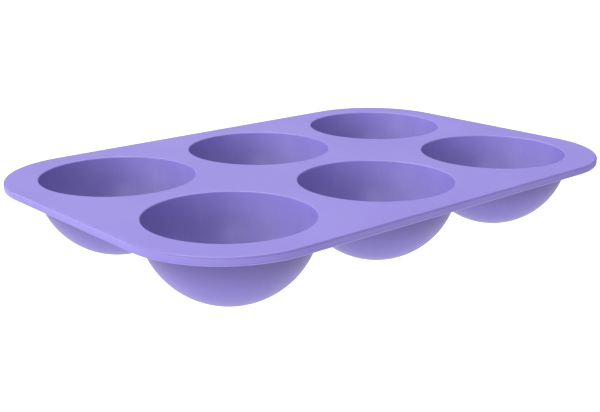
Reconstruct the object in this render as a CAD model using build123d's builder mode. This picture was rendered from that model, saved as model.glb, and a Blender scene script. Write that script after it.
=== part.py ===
# Silicone soap mould with six round-bottomed cups, in millimetres.
#
# The mould is a flat rounded deck that carries two rows of three cups. Each cup is a slice of a hollow ball:
# its inner and outer walls share one centre, a little above the deck, so the wall is equally thick all over.
# Every cup keeps a narrow flat rim that fills its round seat in the deck, flush above and below.
#
# The long side runs along X and +Z is up. The origin is on the bench, under the middle of the mould, and the
# six cup bottoms touch the bench.

from build123d import *
import os

# Cups
cavity_radius = 35.0  # inner wall of the ball
wall = 1.6  # cup wall, between the inner and the outer ball
ball_rise = 0.75  # how far the ball's centre lies above the deck's top face
lip_round = 0.5  # rounding where the deck turns down into a cavity
root_round = 1.2  # fillet between a cup's outside and the deck's underside
rim_land = 0.3  # flat rim left between that fillet and the seat

# Deck
deck_thickness = 3.6
web = 12.2  # deck between two neighbouring cavities
border = 13.4  # deck between an outer cavity and the deck's edge
corner_radius = 44.0
top_edge_round = 0.9
bottom_edge_round = 0.8

# Layout: columns along X, rows along Y
column_names = ("left", "middle", "right")
row_names = ("front", "back")

# Sizes that follow from the ones above
cup_radius = cavity_radius + wall
pitch = 2 * cavity_radius + web
deck_top = cup_radius - ball_rise
deck_bottom = deck_top - deck_thickness
ball_centre = deck_top + ball_rise
seat_radius = cup_radius + root_round + rim_land
deck_length = (len(column_names) - 1) * pitch + 2 * (cavity_radius + border)
deck_width = (len(row_names) - 1) * pitch + 2 * (cavity_radius + border)


def cup_centre(column, row):
    """Where a cup's axis stands in X and Y."""
    x = (column - (len(column_names) - 1) / 2) * pitch
    y = (row - (len(row_names) - 1) / 2) * pitch
    return x, y


def ball_half_width(radius, height):
    """How wide a ball about the cup's centre is at a height, measured from the axis."""
    return (radius**2 - (ball_centre - height) ** 2) ** 0.5


def make_deck():
    """The flat deck: a rounded plate with one round seat for each cup."""
    with BuildPart() as deck:
        with BuildSketch(Plane.XY.offset(deck_bottom)):
            RectangleRounded(deck_length, deck_width, corner_radius)
            with GridLocations(pitch, pitch, len(column_names), len(row_names)):
                Circle(seat_radius, mode=Mode.SUBTRACT)
        extrude(amount=deck_thickness)
        faces_by_height = deck.faces().sort_by(Axis.Z)
        top_edges = faces_by_height[-1].outer_wire().edges()
        bottom_edges = faces_by_height[0].outer_wire().edges()
        fillet(top_edges, top_edge_round)
        fillet(bottom_edges, bottom_edge_round)
    return deck


def make_cup(column, row):
    """One cup with its rim: half of its section, turned about the cup's upright axis."""
    x, y = cup_centre(column, row)
    section_plane = Plane(origin=(x, y, 0), x_dir=(1, 0, 0), z_dir=(0, -1, 0))
    lip = (ball_half_width(cavity_radius, deck_top), deck_top)
    root = (ball_half_width(cup_radius, deck_bottom), deck_bottom)
    cavity_floor = (0, ball_centre - cavity_radius)
    cup_bottom = (0, ball_centre - cup_radius)
    with BuildPart() as cup:
        with BuildSketch(section_plane) as section:
            with BuildLine():
                RadiusArc(cup_bottom, root, -cup_radius)
                Polyline(root, (seat_radius, deck_bottom), (seat_radius, deck_top), lip)
                RadiusArc(lip, cavity_floor, cavity_radius)
                Line(cavity_floor, cup_bottom)
            make_face()
            corners = section.vertices()
            fillet(corners.sort_by_distance(lip)[0], lip_round)
            fillet(section.vertices().sort_by_distance(root)[0], root_round)
        revolve(axis=Axis((x, y, 0), (0, 0, 1)))
    return cup


def write_step(piece, name):
    """Labels a finished piece and writes it as the node of that name."""
    piece.part.label = name
    export_step(piece.part, f"parts/{name}.step")
    print(f"{name}: {piece.part.volume:.0f} mm3, {piece.part.bounding_box().size}")


os.makedirs("parts", exist_ok=True)
write_step(make_deck(), "deck")
for row, row_name in enumerate(row_names):
    for column, column_name in enumerate(column_names):
        write_step(make_cup(column, row), f"cup_{row_name}_{column_name}")
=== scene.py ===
# %% [markdown]
# # A silicone soap mould
#
# The mould is one soft rubber moulding: a thin flat deck, and six cups that hang below it like half
# balls. Soap or wax is poured into the cups, and each cup is pushed inside out to free the set piece.
# This lesson models the deck and the cups with ordinary modelling operators, gives them a satin silicone
# finish, and lights them like a product on a white table.
#
# The working model already exists as a CAD frame. It says where each piece is and how large, so every
# position below is read from it. Lengths are in metres, +Z is up, the long side of the mould runs along
# X, and the cup bottoms touch the table at z = 0.

import math

import bmesh
import bpy
from mathutils import Matrix, Vector


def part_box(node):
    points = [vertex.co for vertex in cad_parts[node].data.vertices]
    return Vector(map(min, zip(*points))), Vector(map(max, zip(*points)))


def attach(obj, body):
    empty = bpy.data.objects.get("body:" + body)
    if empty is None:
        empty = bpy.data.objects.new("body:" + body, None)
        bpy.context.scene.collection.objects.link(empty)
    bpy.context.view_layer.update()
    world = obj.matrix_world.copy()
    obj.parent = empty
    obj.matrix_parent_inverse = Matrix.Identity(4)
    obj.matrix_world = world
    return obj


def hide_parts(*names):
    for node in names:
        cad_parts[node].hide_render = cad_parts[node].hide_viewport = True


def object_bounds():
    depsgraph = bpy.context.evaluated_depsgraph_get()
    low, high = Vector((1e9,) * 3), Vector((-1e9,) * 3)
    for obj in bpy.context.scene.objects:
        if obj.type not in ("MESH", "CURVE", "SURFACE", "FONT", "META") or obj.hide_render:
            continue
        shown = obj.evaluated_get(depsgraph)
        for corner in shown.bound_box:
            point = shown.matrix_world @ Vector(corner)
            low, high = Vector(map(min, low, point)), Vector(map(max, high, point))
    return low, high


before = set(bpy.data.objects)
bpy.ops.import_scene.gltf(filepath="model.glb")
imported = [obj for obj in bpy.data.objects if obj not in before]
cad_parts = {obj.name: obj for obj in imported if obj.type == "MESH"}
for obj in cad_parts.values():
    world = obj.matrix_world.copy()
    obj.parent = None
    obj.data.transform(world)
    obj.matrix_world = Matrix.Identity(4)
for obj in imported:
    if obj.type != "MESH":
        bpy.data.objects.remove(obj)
cad_low, cad_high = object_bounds()
cup_nodes = sorted(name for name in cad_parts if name.startswith("cup_"))
print(f"CAD box from {tuple(cad_low)} to {tuple(cad_high)}")
print(f"The frame holds the deck and {len(cup_nodes)} cups: {', '.join(cup_nodes)}")

# %% [markdown]
# ## Sizes
#
# The boxes of the CAD nodes give the large sizes: the deck's outline and thickness, and where each cup
# stands. What a box can't tell is repeated here by name: how thick a cup's wall is, how far the ball's
# centre lies above the deck, and how its edges are rounded. The inside and the outside of a cup are two
# balls about one centre, so two radii and a height describe them fully.

# %% Sizes
mm = 0.001

wall = 1.6 * mm  # cup wall, between the inner and the outer ball
ball_rise = 0.75 * mm  # how far the ball's centre lies above the deck's top face
lip_round = 0.5 * mm  # rounding where the deck turns down into a cavity
root_round = 1.2 * mm  # fillet between a cup's outside and the deck's underside
rim_land = 0.3 * mm  # flat rim left between that fillet and the seat
corner_radius = 44.0 * mm
top_edge_round = 0.9 * mm
bottom_edge_round = 0.8 * mm

deck_low, deck_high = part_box("deck")
deck_length, deck_width, deck_thickness = deck_high - deck_low
deck_top, deck_bottom = deck_high.z, deck_low.z
ball_centre = deck_top + ball_rise
cup_radius = ball_centre - cad_low.z
cavity_radius = cup_radius - wall
seat_radius = cup_radius + root_round + rim_land


def cup_place(node):
    """The cup's own axis: the middle of its CAD box, on the table."""
    low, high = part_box(node)
    return Vector(((low.x + high.x) / 2, (low.y + high.y) / 2, 0))


def ball_half_width(radius, height):
    """How wide a ball about the cup's centre is at a height, measured from the axis."""
    return math.sqrt(radius**2 - (ball_centre - height) ** 2)


print(f"Deck {deck_length / mm:.1f} x {deck_width / mm:.1f} x {deck_thickness / mm:.1f} mm")
print(f"Deck's top {deck_top / mm:.2f} mm above the table")
print(f"Radii: cavity {cavity_radius / mm:.2f}, cup {cup_radius / mm:.2f}, seat {seat_radius / mm:.2f} mm")

# %% [markdown]
# ## Small helpers
#
# Edit-mode operators act on whatever is selected, and a new object or a new primitive arrives selected.
# So the selection is cleared before each start, and the edges that the next operator needs are picked in
# code by where they lie. A ring of edges around an upright axis is known by its height and its distance
# from that axis.

# %% Selection helpers
tolerance = 0.005 * mm  # two places closer than this are the same place
crease_angle = math.radians(40)  # edges sharper than this stay crisp under smooth shading


def deselect_all():
    """Leave edit mode and clear the selection, so that the next operator starts fresh."""
    if bpy.context.object and bpy.context.object.mode != "OBJECT":
        bpy.ops.object.mode_set(mode="OBJECT")
    bpy.ops.object.select_all(action="DESELECT")


def name_new_object(name):
    """Name the object that was just added, and its mesh."""
    piece = bpy.context.object
    piece.name = piece.data.name = name
    return piece


def select_edges(piece, wanted):
    """In edit mode, select just the edges whose two ends both pass the test."""
    mesh = bmesh.from_edit_mesh(piece.data)
    bpy.ops.mesh.select_all(action="DESELECT")
    picked = [edge for edge in mesh.edges if all(wanted(vertex.co) for vertex in edge.verts)]
    for edge in picked:
        edge.select_set(True)
    bmesh.update_edit_mesh(piece.data)
    return len(picked)


def on_ring(radius, height):
    """A test for places on an upright ring around the Z axis."""
    return lambda place: (
        abs(place.z - height) < tolerance and abs(math.hypot(place.x, place.y) - radius) < tolerance
    )


def stretch_ring(piece, radius, height):
    """Scale the selected ring about its own middle until it has the radius that is asked for."""
    mesh = bmesh.from_edit_mesh(piece.data)
    reach = [math.hypot(*vertex.co.xy) for vertex in mesh.verts if vertex.select]
    factor = radius * len(reach) / sum(reach)
    bpy.ops.transform.resize(value=(factor, factor, 1), center_override=(0, 0, height))


def smooth_finish(piece):
    """Smooth shading with crisp creases, and normals that keep the flat faces truly flat."""
    bpy.ops.object.mode_set(mode="OBJECT")
    bpy.ops.object.shade_smooth_by_angle(angle=crease_angle)
    bpy.ops.object.modifier_add(type="WEIGHTED_NORMAL")
    level_normals = bpy.context.object.modifiers[-1]
    level_normals.keep_sharp = True
    bpy.ops.object.modifier_apply(modifier=level_normals.name)
    print(f"{piece.name}: {len(piece.data.vertices)} vertices, {len(piece.data.polygons)} faces")


# %% [markdown]
# ## The cup
#
# On the real mould a cup is a thin bowl of even thickness. It could be drawn as a half section and spun,
# or made from a thick sheet with Solidify. Here it is built from two balls, because both of its walls
# really are pieces of a ball. The first ball is cut open at the deck's top face and becomes the cavity.

# %% Cavity: the inner ball, cut open at the deck's top
points_around = 128  # points on every round edge, shared by the cups and the deck's seats
ball_rings = 48  # rings of faces from the top of a full ball to its bottom

deselect_all()
bpy.ops.mesh.primitive_uv_sphere_add(
    segments=points_around, ring_count=ball_rings, radius=cavity_radius, location=(0, 0, ball_centre)
)
cup = name_new_object("cup")
bpy.ops.object.transform_apply(location=True, rotation=True, scale=True)
bpy.ops.object.mode_set(mode="EDIT")
bpy.ops.mesh.select_all(action="SELECT")
bpy.ops.mesh.bisect(plane_co=(0, 0, deck_top), plane_no=(0, 0, 1), clear_outer=True)
mouth_radius = ball_half_width(cavity_radius, deck_top)
stretch_ring(cup, mouth_radius, deck_top)
found = select_edges(cup, on_ring(mouth_radius, deck_top))
print(f"The cavity's mouth is {2 * mouth_radius / mm:.2f} mm across and has {found} edges")

# %% [markdown]
# The open edge of the cavity is now drawn out by three extrusions: outwards for the rim's flat top, down
# for the rim's outer wall, and inwards again for the rim's underside. Each extrusion makes a new ring of
# edges and leaves it selected, which is why scaling straight after it moves just the new ring.

# %% Rim: three extrusions of the open edge
root_radius = ball_half_width(cup_radius, deck_bottom)

bpy.ops.mesh.extrude_region_move()
stretch_ring(cup, seat_radius, deck_top)
bpy.ops.mesh.extrude_region_move(TRANSFORM_OT_translate={"value": (0, 0, -deck_thickness)})
bpy.ops.mesh.extrude_region_move()
stretch_ring(cup, root_radius, deck_bottom)
found = select_edges(cup, on_ring(root_radius, deck_bottom))
print(f"The rim ends {root_radius / mm:.2f} mm from the axis, at a ring of {found} edges")

# %% [markdown]
# The second ball is the outside of the cup. It is cut at the deck's underside, where its open edge falls
# exactly on the last ring of the rim, so merging the doubled points closes the shell. Two bevels then
# round the lip and fill the root. A bevel's width is measured along the faces from the old corner, while
# a mould maker states the radius of the rounding, so the width is worked out from where a circle of that
# radius touches the plane and the ball.

# %% Outside: the second ball, merged and rounded
round_steps = 8  # rows of faces across the lip and across the root
lip_width = math.sqrt((cavity_radius + lip_round) ** 2 - (ball_rise + lip_round) ** 2) - mouth_radius
root_drop = ball_rise + deck_thickness + root_round  # from the ball's centre to the centre of the fillet
root_width = math.sqrt((cup_radius + root_round) ** 2 - root_drop**2) - root_radius

bpy.ops.mesh.select_all(action="DESELECT")
bpy.ops.mesh.primitive_uv_sphere_add(
    segments=points_around, ring_count=ball_rings, radius=cup_radius, location=(0, 0, ball_centre)
)
bpy.ops.mesh.bisect(plane_co=(0, 0, deck_bottom), plane_no=(0, 0, 1), clear_outer=True)
stretch_ring(cup, root_radius, deck_bottom)
bpy.ops.mesh.select_all(action="SELECT")
bpy.ops.mesh.remove_doubles(threshold=tolerance)
bpy.ops.mesh.normals_make_consistent(inside=False)
select_edges(cup, on_ring(mouth_radius, deck_top))
bpy.ops.mesh.bevel(offset=lip_width, segments=round_steps, profile=0.5, clamp_overlap=False)
select_edges(cup, on_ring(root_radius, deck_bottom))
bpy.ops.mesh.bevel(offset=root_width, segments=round_steps, profile=0.5, clamp_overlap=False)
smooth_finish(cup)
print(f"Lip bevel {lip_width / mm:.3f} mm wide, root bevel {root_width / mm:.3f} mm wide")

# %% [markdown]
# All six cups are alike, so the finished one is copied to each place that the frame gives. Each copy
# gets its own mesh, and it is the mesh that moves: the objects stay at the origin, so that one
# coordinate system serves the whole mould and a pattern in the material runs on from piece to piece
# without a step.

# %% Six cups in their places
deselect_all()
cups = {}
for node in cup_nodes:
    piece = bpy.data.objects.new(node + "_shell", cup.data.copy())
    piece.data.name = piece.name
    bpy.context.scene.collection.objects.link(piece)
    piece.data.transform(Matrix.Translation(cup_place(node)))
    cups[node] = piece
bpy.data.objects.remove(cup)
print(f"Placed {len(cups)} cups")

# %% [markdown]
# ## The deck
#
# The deck is the flat plate that the hand holds and that carries the cups. It starts as a plane.
# Bevelling the plane's four corner points gives the rounded outline, one extrusion gives the thickness,
# and two narrow bevels soften the edges, the lower one a little less than the upper one.

# %% Plate: outline, thickness and soft edges
corner_steps = 32  # faces around each corner of the outline
edge_steps = 5  # rows of faces across a rounded edge

deselect_all()
bpy.ops.mesh.primitive_plane_add(size=1, location=(0, 0, deck_bottom))
deck = name_new_object("deck_plate")
bpy.ops.object.mode_set(mode="EDIT")
bpy.ops.transform.resize(value=(deck_length, deck_width, 1))
bpy.ops.mesh.bevel(affect="VERTICES", offset=corner_radius, segments=corner_steps, profile=0.5)
bpy.ops.mesh.select_all(action="SELECT")
bpy.ops.mesh.extrude_region_move(TRANSFORM_OT_translate={"value": (0, 0, deck_thickness)})
bpy.ops.mesh.select_all(action="SELECT")
bpy.ops.mesh.normals_make_consistent(inside=False)
bpy.ops.object.mode_set(mode="OBJECT")
bpy.ops.object.transform_apply(location=True, rotation=True, scale=True)
bpy.ops.object.mode_set(mode="EDIT")
select_edges(deck, lambda place: abs(place.z - deck_top) < tolerance)
bpy.ops.mesh.bevel(offset=top_edge_round, segments=edge_steps, profile=0.5)
select_edges(deck, lambda place: abs(place.z - deck_bottom) < tolerance)
bpy.ops.mesh.bevel(offset=bottom_edge_round, segments=edge_steps, profile=0.5)
bpy.ops.object.mode_set(mode="OBJECT")
print(f"{deck.name}: {len(deck.data.vertices)} vertices before the seats are cut")

# %% [markdown]
# Each cup's rim fills a round seat in the deck. Each seat is cut by a Boolean with an upright cylinder.
# The cylinder has as many points around as the cup, so the two edges of a joint share the same points
# and no gap or step can show between them. On the real mould there is no joint at all, and it must not
# be seen here either.

# %% Seats: six cylinders cut from the plate
seat_cutter_height = 4 * deck_thickness

deselect_all()
for node in cup_nodes:
    place = cup_place(node)
    bpy.ops.mesh.primitive_cylinder_add(
        vertices=points_around,
        radius=seat_radius,
        depth=seat_cutter_height,
        location=(place.x, place.y, (deck_top + deck_bottom) / 2),
    )
    cutter = name_new_object("seat_cutter")
    deselect_all()
    deck.select_set(True)
    bpy.context.view_layer.objects.active = deck
    bpy.ops.object.modifier_add(type="BOOLEAN")
    cut = deck.modifiers[-1]
    cut.operation = "DIFFERENCE"
    cut.solver = "EXACT"
    cut.object = cutter
    bpy.ops.object.modifier_apply(modifier=cut.name)
    bpy.data.objects.remove(cutter)
smooth_finish(deck)

# %% [markdown]
# ## Joining the pieces to the frame
#
# The frame is one rigid body, so every piece rides on "root". Each piece stands for the CAD node of the
# same name, which is hidden.

# %% Ride and replace
pieces = {"deck": deck, **cups}
for node, piece in pieces.items():
    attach(piece, "root")
    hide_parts(node)
print(f"{len(pieces)} pieces stand for {len(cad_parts)} CAD nodes")

# %% [markdown]
# ## Silicone
#
# The mould is pigmented silicone rubber. Its colour is mixed in, so it is the same all through, with
# soft clouds where the pigment was folded in. The polished steel tool leaves a satin grain that blurs
# every reflection, and the rubber flows down the walls of the cups as it is pressed, which leaves very
# faint streaks there. Use smooths the lips and leaves thin dust. On top of that, light and shade are
# painted in: a paler tint on the lips, the side and the lower edge of the deck, a darker upper edge, a
# duller tint inside the cups, a darker band on the cups close below the deck, and a richer colour on
# their undersides.
#
# All of this could be painted on an image, but then it would need unwrapping and would blur close up.
# Here each effect is a pattern worked out from the place on the mould. The coordinates are Object
# coordinates in metres, and every piece has its origin in the same spot, so a pattern runs on across a
# joint as if there were none.

# %% Node helpers
silicone = bpy.data.materials.new("lavender_silicone")
silicone.use_nodes = True
nodes, links = silicone.node_tree.nodes, silicone.node_tree.links
shader = nodes["Principled BSDF"]
column = -1600  # where the next helper node is put in the node editor


def feed(socket, value):
    """Give a socket a number or a colour, or link another node's output to it."""
    if isinstance(value, bpy.types.NodeSocket):
        links.new(value, socket)
    else:
        socket.default_value = value


def add_node(kind, label, **inputs):
    """Add a labelled shader node and feed its inputs, which are written with _ for a space."""
    global column
    node = nodes.new("ShaderNode" + kind)
    node.label = label
    node.location = (column, 0)
    column += 40
    for name, value in inputs.items():
        feed(node.inputs[name.replace("_", " ")], value)
    return node


def math_step(label, operation, *values):
    """A Math node on one, two or three numbers or outputs; returns its output."""
    node = add_node("Math", label)
    node.operation = operation
    for socket, value in zip(node.inputs, values):
        feed(socket, value)
    return node.outputs["Value"]


def ramp_between(label, value, low, high, at_low=0.0, at_high=1.0):
    """A smooth rise from at_low to at_high while a value goes from low to high."""
    node = add_node("MapRange", label, Value=value, From_Min=low, From_Max=high)
    feed(node.inputs["To Min"], at_low)
    feed(node.inputs["To Max"], at_high)
    node.interpolation_type = "SMOOTHSTEP"
    return node.outputs["Result"]


def noise(label, vector, size, detail=2.0, roughness=0.5):
    """Soft noise whose lumps are about as wide as size, in metres."""
    node = add_node("TexNoise", label, Vector=vector, Scale=1 / size, Detail=detail, Roughness=roughness)
    return node.outputs["Fac"]


def mix_colours(label, factor, first, second):
    """Blend two colours; returns the blended colour."""
    node = add_node("Mix", label)
    node.data_type = "RGBA"
    for name, value in (("Factor_Float", factor), ("A_Color", first), ("B_Color", second)):
        feed(next(socket for socket in node.inputs if socket.identifier == name), value)
    return next(socket for socket in node.outputs if socket.identifier == "Result_Color")


print("Node helpers ready")

# %% [markdown]
# First come the readings that every effect starts from: where a point is, which way its surface faces,
# and how far it lies from the axis of the nearest cup. The mould is the same on both sides of its middle
# planes, so taking X and Y without their signs leaves just two cup axes to look at: the middle cup's,
# and the end cup's one pitch further.

# %% Where a point is, and which way it faces
pitch = cup_place("cup_front_right").x - cup_place("cup_front_middle").x

place = add_node("TexCoord", "place on the mould").outputs["Object"]
x, y, z = add_node("SeparateXYZ", "x, y and height", Vector=place).outputs
normal = add_node("NewGeometry", "surface").outputs["Normal"]
facing_up = add_node("SeparateXYZ", "facing", Vector=normal).outputs["Z"]

x_size = math_step("x without sign", "ABSOLUTE", x)
at_end_cup = math_step("nearer to an end cup", "GREATER_THAN", x_size, pitch / 2)
from_axis_x = math_step("x from the cup's axis", "MULTIPLY_ADD", at_end_cup, -pitch, x_size)
y_size = math_step("y without sign", "ABSOLUTE", y)
from_axis_y = math_step("y from the cup's axis", "SUBTRACT", y_size, pitch / 2)
x_squared = math_step("x squared", "MULTIPLY", from_axis_x, from_axis_x)
reach_squared = math_step("plus y squared", "MULTIPLY_ADD", from_axis_y, from_axis_y, x_squared)
reach = math_step("distance from the cup's axis", "SQRT", reach_squared)
in_cup = ramp_between("below the deck's top", z, deck_top - 2.5 * mm, deck_top - 6 * mm)
print(f"The cups stand {pitch / mm:.1f} mm apart")

# %% [markdown]
# Now the patterns. The clouds are wide and very soft, and the mottle is a few millimetres wide. The
# satin grain is only about a fifth of a millimetre wide, too fine to see from a distance, but it spreads
# each highlight. The streaks come from noise that changes quickly around the cup and slowly down its
# wall.

# %% Patterns
clouds = noise("pigment clouds", place, 45 * mm, detail=1.0)
mottle = noise("fine mottle", place, 3.5 * mm, detail=3.0)
grain = noise("satin grain", place, 0.22 * mm, detail=2.0, roughness=0.6)
ripple = noise("moulding ripple", place, 9 * mm, detail=1.0)

off_centre = math_step("never quite zero", "ADD", reach, 1 * mm)
around_x = math_step("x share", "DIVIDE", from_axis_x, off_centre)
around_y = math_step("y share", "DIVIDE", from_axis_y, off_centre)
streak_size = 0.045  # around a circle of radius 1, so about 1.6 mm on a cup's wall
slow_down_wall = 6.0  # on that circle's scale the wall is only a fifth of the radius deep
down_wall = math_step("slow change down the wall", "MULTIPLY", z, slow_down_wall)
around = add_node("CombineXYZ", "direction around the cup", X=around_x, Y=around_y, Z=down_wall)
streaks = noise("flow streaks", around.outputs["Vector"], streak_size)
streaks = math_step("streaks around zero", "SUBTRACT", streaks, 0.5)
streaks = math_step("streaks only in the cups", "MULTIPLY", streaks, in_cup)
print("Patterns: clouds, mottle, grain, ripple and flow streaks")

# %% [markdown]
# Wear, dust and painted light and shade are masks between 0 and 1, found from where a point lies and
# how it faces. Soap that is pushed out rubs the lips smoother, and a paler tint on them is a painted
# highlight. The deck's upper edge gets a darker tint of painted shade. The side of the deck gets a pale
# tint of painted light, and its lower edge a stronger pale line of painted light. Noise breaks the lip
# tint and the lower edge's line up, so they are never even. Dust is a thin film on what faces up, with a
# few specks in it. Inside the cups a duller tint is painted shade colour, the cups' outsides close below
# the deck are darkened with painted shade, and their undersides get a richer colour of painted light.

# %% Masks for worn edges, dust, and painted light and shade
unevenly = ramp_between("uneven lip wear and edge light", mottle, 0.3, 0.7, 0.6, 1.0)

near_top = ramp_between("near the deck's top", z, deck_top - 0.9 * mm, deck_top - 0.4 * mm)
not_flat = ramp_between("not facing straight up", facing_up, 0.995, 0.9)
upper_edge = math_step("near the top and not flat", "MULTIPLY", near_top, not_flat)
by_mouth = ramp_between("beside a mouth", reach, cavity_radius + 3 * mm, cavity_radius + 2 * mm)
lip = math_step("lip", "MULTIPLY", upper_edge, by_mouth)
# lips: smoother from real wear, and a paler tint there that is a painted highlight
lip_wear_and_highlight = math_step("lip wear and painted highlight", "MULTIPLY", lip, unevenly)
# painted shade: a darker tint on the rounded upper edge of the deck
upper_edge_shade = math_step("painted shade on the upper edge", "SUBTRACT", upper_edge, lip)

in_deck = ramp_between("above the deck's underside", z, deck_bottom - 0.1 * mm, deck_bottom + 0.1 * mm)
sideways = ramp_between("facing sideways or down", facing_up, 0.4, 0.1)
side = math_step("sideways in the deck", "MULTIPLY", sideways, in_deck)
off_cup = math_step("away from the mouths", "SUBTRACT", 1.0, by_mouth)
side = math_step("side of the deck", "MULTIPLY", side, off_cup)
# painted light: a paler tint on the deck's side
above_edge = ramp_between("above the lower edge", z, deck_bottom + 0.4 * mm, deck_bottom + 1.4 * mm)
painted_side_light = math_step("painted light on the side", "MULTIPLY", side, above_edge)
leaning_down = ramp_between("leaning down", facing_up, -0.15, -0.45)
low_edge = math_step("lower edge", "MULTIPLY", leaning_down, side)
# painted highlight: a pale line along the deck's lower edge, standing in for light from the table
lower_edge_light = math_step("painted lower edge light", "MULTIPLY", low_edge, unevenly)

faces_up = ramp_between("faces up", facing_up, 0.35, 0.95)
speck_noise = noise("speck noise", place, 0.9 * mm, detail=0.0)
specks = ramp_between("dust specks", speck_noise, 0.80, 0.86)
film = ramp_between("dust film", clouds, 0.35, 0.75, 0.0, 0.35)
dust = math_step("film and specks", "MAXIMUM", specks, film)
dust = math_step("dust", "MULTIPLY", dust, faces_up)

# painted shade colour: a duller, less blue tint on the insides of the cups
inside = ramp_between("inner side of a cup", facing_up, 0.0, 0.1)
interior_shade_tint = math_step("painted interior shade tint", "MULTIPLY", inside, in_cup)
# painted shade: a darker tint on the cups' outsides close below the deck
outside = ramp_between("outer side of a cup", facing_up, 0.05, -0.05)
high_up = ramp_between("close below the deck", z, deck_bottom - 20 * mm, deck_bottom - 1 * mm)
below_deck = math_step("below the deck", "SUBTRACT", 1.0, in_deck)
painted_root_shade = math_step("high on the outside", "MULTIPLY", outside, high_up)
painted_root_shade = math_step("painted shade in the root", "MULTIPLY", painted_root_shade, below_deck)
# painted light from the table: a richer, bluer colour where a cup faces down
underneath = ramp_between("underside of a cup", facing_up, -0.45, -0.9)
print("Masks: lips, upper edge, side, lower edge, dust, painted interior shade, painted root shade, underside")

# %% [markdown]
# Last, the masks and patterns shade the Principled BSDF. The mixed-in colour changes by a few
# thousandths only, since silicone is an even material. Dust, wear and the painted light and shade show
# more, and each mark has its own share of how far it turns the colour. The index of refraction is
# silicone's own, 1.41.

# %% Colour, roughness and grain
lavender = (0.156, 0.125, 0.394, 1)
deep_lavender = (0.153, 0.122, 0.390, 1)
# pale_lavender: the real flow streaks, and the painted light on the lips, the side and the lower edge
pale_lavender = (0.30, 0.26, 0.60, 1)
# the colour of the painted light on the cups' undersides
rich_lavender = (0.160, 0.128, 0.440, 1)
# the colour of the painted shade inside the cups
dull_lavender = (0.170, 0.140, 0.280, 1)
# the colour of the painted shade on the deck's upper edge
dark_lavender = (0.100, 0.078, 0.260, 1)
# the colour of the painted shade close below the deck
root_shade_lavender = (0.080, 0.062, 0.190, 1)
dust_grey = (0.42, 0.40, 0.52, 1)
silicone_ior = 1.41

cloudy = ramp_between("cloudy", clouds, 0.3, 0.7)
streaky = math_step("streaky", "MULTIPLY", streaks, 0.3)
colour = mix_colours("clouded colour", cloudy, deep_lavender, lavender)
colour = mix_colours("streaked colour", streaky, colour, pale_lavender)
for label, mask, share, tint in (
    # painted shade colour inside the cups
    ("painted interior shade tint", interior_shade_tint, 0.06, dull_lavender),
    # painted light from the table on the cups' undersides
    ("painted table light below", underneath, 0.9, rich_lavender),
    # painted shade on the cups close below the deck
    ("painted_root_shade", painted_root_shade, 0.78, root_shade_lavender),
    # painted highlight on the lips
    ("lip wear and painted highlight", lip_wear_and_highlight, 0.08, pale_lavender),
    # painted shade on the deck's upper edge
    ("painted upper edge shade", upper_edge_shade, 0.20, dark_lavender),
    # painted light on the deck's side
    ("painted side light", painted_side_light, 0.16, pale_lavender),
    # painted highlight along the deck's lower edge
    ("painted lower edge light", lower_edge_light, 0.55, pale_lavender),
    ("dust", dust, 0.04, dust_grey),
):  # each mark: its mask, how much of it shows, and its tint
    colour = mix_colours(label, math_step(label + " share", "MULTIPLY", mask, share), colour, tint)

satin = ramp_between("satin", mottle, 0.25, 0.75, 0.42, 0.48)
satin = math_step("smoother where rubbed", "MULTIPLY_ADD", lip_wear_and_highlight, -0.06, satin)
satin = math_step("rougher where dusty", "MULTIPLY_ADD", dust, 0.08, satin)

wavy = add_node("Bump", "moulding ripple", Strength=0.15, Distance=0.08 * mm, Height=ripple)
grainy = add_node("Bump", "satin grain", Strength=0.35, Distance=0.012 * mm, Height=grain)
feed(grainy.inputs["Normal"], wavy.outputs["Normal"])

feed(shader.inputs["Base Color"], colour)
feed(shader.inputs["Roughness"], satin)
feed(shader.inputs["Normal"], grainy.outputs["Normal"])
shader.inputs["IOR"].default_value = silicone_ior
for piece in pieces.values():
    piece.data.materials.clear()
    piece.data.materials.append(silicone)
print(f"{silicone.name}: {len(nodes)} nodes on {len(pieces)} pieces")

# %% [markdown]
# ## White table
#
# The mould stands on a seamless white table that is lit from within, like the light table of a product
# studio. It throws light up under the deck and on to the undersides of the cups. The table's lamp sits a
# little to the left of the mould's middle, so the table gives less light further out, but the camera
# sees it as one even white: a Light Path node tells the two apart. From below the table is clear, so
# that the underside can be looked at too.

# %% Table
table_side = 8  # metres, far past the edges of the view
white_seen = 1.3  # how bright the table and the walls look to the camera
table_light_near, table_light_far = 1.28, 0.50  # how much light the table gives
near_reach, far_reach = 180 * mm, 420 * mm  # the light falls off between these distances
lamp_x = -80 * mm  # the table's lamp, and with it the table's own middle

deselect_all()
bpy.ops.mesh.primitive_plane_add(size=table_side, location=(lamp_x, 0, 0))
table = name_new_object("white_table")
glow = bpy.data.materials.new("lit_table")
glow.use_nodes = True
nodes, links = glow.node_tree.nodes, glow.node_tree.links
nodes.clear()
spot = add_node("TexCoord", "spot on the table").outputs["Object"]
from_lamp = add_node("VectorMath", "distance from the lamp")
from_lamp.operation = "LENGTH"
feed(from_lamp.inputs["Vector"], spot)
given = ramp_between(
    "light given", from_lamp.outputs["Value"], near_reach, far_reach, table_light_near, table_light_far
)
by_camera = add_node("LightPath", "seen by the camera").outputs["Is Camera Ray"]
strength = add_node("MapRange", "light given or seen", Value=by_camera, To_Min=given, To_Max=white_seen)
lit = add_node("Emission", "glow", Strength=strength.outputs["Result"])
clear = add_node("BsdfTransparent", "clear")
from_below = add_node("NewGeometry", "side").outputs["Backfacing"]
either = add_node("MixShader", "glow above, clear below", Fac=from_below)
feed(either.inputs[1], lit.outputs["Emission"])
feed(either.inputs[2], clear.outputs["BSDF"])
feed(add_node("OutputMaterial", "output").inputs["Surface"], either.outputs["Shader"])
table.data.materials.append(glow)
print(f"{table.name} gives {table_light_near} of full white over its lamp and {table_light_far} far out")

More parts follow.
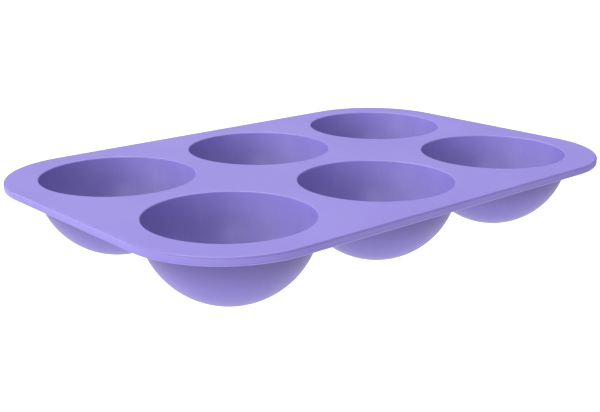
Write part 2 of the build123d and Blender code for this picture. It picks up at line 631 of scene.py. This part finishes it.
# %% [markdown]
# ## Studio
#
# The walls of the studio are white and give soft light from all round. The camera sees them as pure
# white, but the light they give is weaker, and a Light Path node tells the two apart.

# %% White walls
wall_light = 0.36  # how much light the walls give

world = bpy.data.worlds.new("white_studio")
bpy.context.scene.world = world
world.use_nodes = True
walls = world.node_tree.nodes["Background"]
walls.inputs["Color"].default_value = (1, 1, 1, 1)
seen = world.node_tree.nodes.new("ShaderNodeLightPath")
level = world.node_tree.nodes.new("ShaderNodeMapRange")
level.inputs["To Min"].default_value = wall_light
level.inputs["To Max"].default_value = white_seen
world.node_tree.links.new(seen.outputs["Is Camera Ray"], level.inputs["Value"])
world.node_tree.links.new(level.outputs["Result"], walls.inputs["Strength"])
bpy.context.scene.view_settings.view_transform = "Standard"
print(f"{world.name} gives {wall_light} of full white")

# %% [markdown]
# Two large soft key lights on the left brighten the deck and the right-hand walls of the cavities. A
# broad light high behind the mould evens the deck out, and a weak fill on the right keeps that end from
# going dull. Low strips all round pick out the edges, and a small lamp by the camera puts a soft glow on
# the floor of each cup. Each is a sun with a wide disc, so it shines alike on all six cups.

# %% Lights


def add_sun(name, azimuth, elevation, strength, disc):
    """A sun at an azimuth (0 in front, 90 on the left, 180 behind) and an elevation, in degrees."""
    turn, rise = math.radians(azimuth), math.radians(elevation)
    towards = Vector((-math.sin(turn) * math.cos(rise), -math.cos(turn) * math.cos(rise), math.sin(rise)))
    bpy.ops.object.light_add(type="SUN", location=towards)
    sun = bpy.context.object
    sun.name = name
    sun.rotation_euler = towards.to_track_quat("Z", "Y").to_euler()
    sun.data.energy = strength
    sun.data.angle = math.radians(disc)
    print(f"{name}: strength {strength}, from {azimuth} degrees round and {elevation} degrees up")


add_sun("key_behind_left", azimuth=135, elevation=30, strength=1.34, disc=45)
add_sun("key_left", azimuth=90, elevation=30, strength=1.30, disc=45)
add_sun("high_back_light", azimuth=210, elevation=60, strength=2.95, disc=30)
add_sun("low_strip_left", azimuth=90, elevation=7, strength=0.85, disc=16)
add_sun("low_strip_corner", azimuth=50, elevation=5, strength=0.75, disc=16)
add_sun("low_strip_front", azimuth=0, elevation=7, strength=0.36, disc=16)
add_sun("low_strip_right", azimuth=280, elevation=8, strength=0.10, disc=16)
add_sun("low_strip_back", azimuth=150, elevation=8, strength=0.74, disc=16)
add_sun("right_fill", azimuth=300, elevation=40, strength=0.28, disc=45)
add_sun("small_front_lamp", azimuth=42, elevation=43, strength=1.00, disc=6)

# %% [markdown]
# ## Camera
#
# The camera looks down on the front left corner of the mould with a short telephoto lens. It is aimed a
# little to the left of the middle of the deck and below it, which sets the mould in the frame.

# %% Camera
camera_azimuth = math.radians(-41.465)  # 0 looks along +Y; a turn to the left is negative
camera_elevation = math.radians(16.549)
camera_distance = 486.4 * mm  # from the middle of the deck's top
slide_right, slide_up = -6.55 * mm, -20.62 * mm  # then the camera slides across its view
lens, film_width = 61.6, 36  # in millimetres, which is Blender's own unit for these two
nearest_seen = 10 * mm

back = Vector(
    (
        math.sin(camera_azimuth) * math.cos(camera_elevation),
        -math.cos(camera_azimuth) * math.cos(camera_elevation),
        math.sin(camera_elevation),
    )
)
right = Vector((math.cos(camera_azimuth), math.sin(camera_azimuth), 0))
up = back.cross(right)
stand = Vector((0, 0, deck_top)) + back * camera_distance + right * slide_right + up * slide_up
bpy.ops.object.camera_add()
camera = bpy.context.object
camera.name = "camera"
camera.matrix_world = Matrix.Translation(stand) @ Matrix((right, up, back)).transposed().to_4x4()
camera.data.lens = lens
camera.data.sensor_width = film_width
camera.data.clip_start = nearest_seen
bpy.context.scene.camera = camera
print(f"Camera at {tuple(round(value, 3) for value in stand)} m")
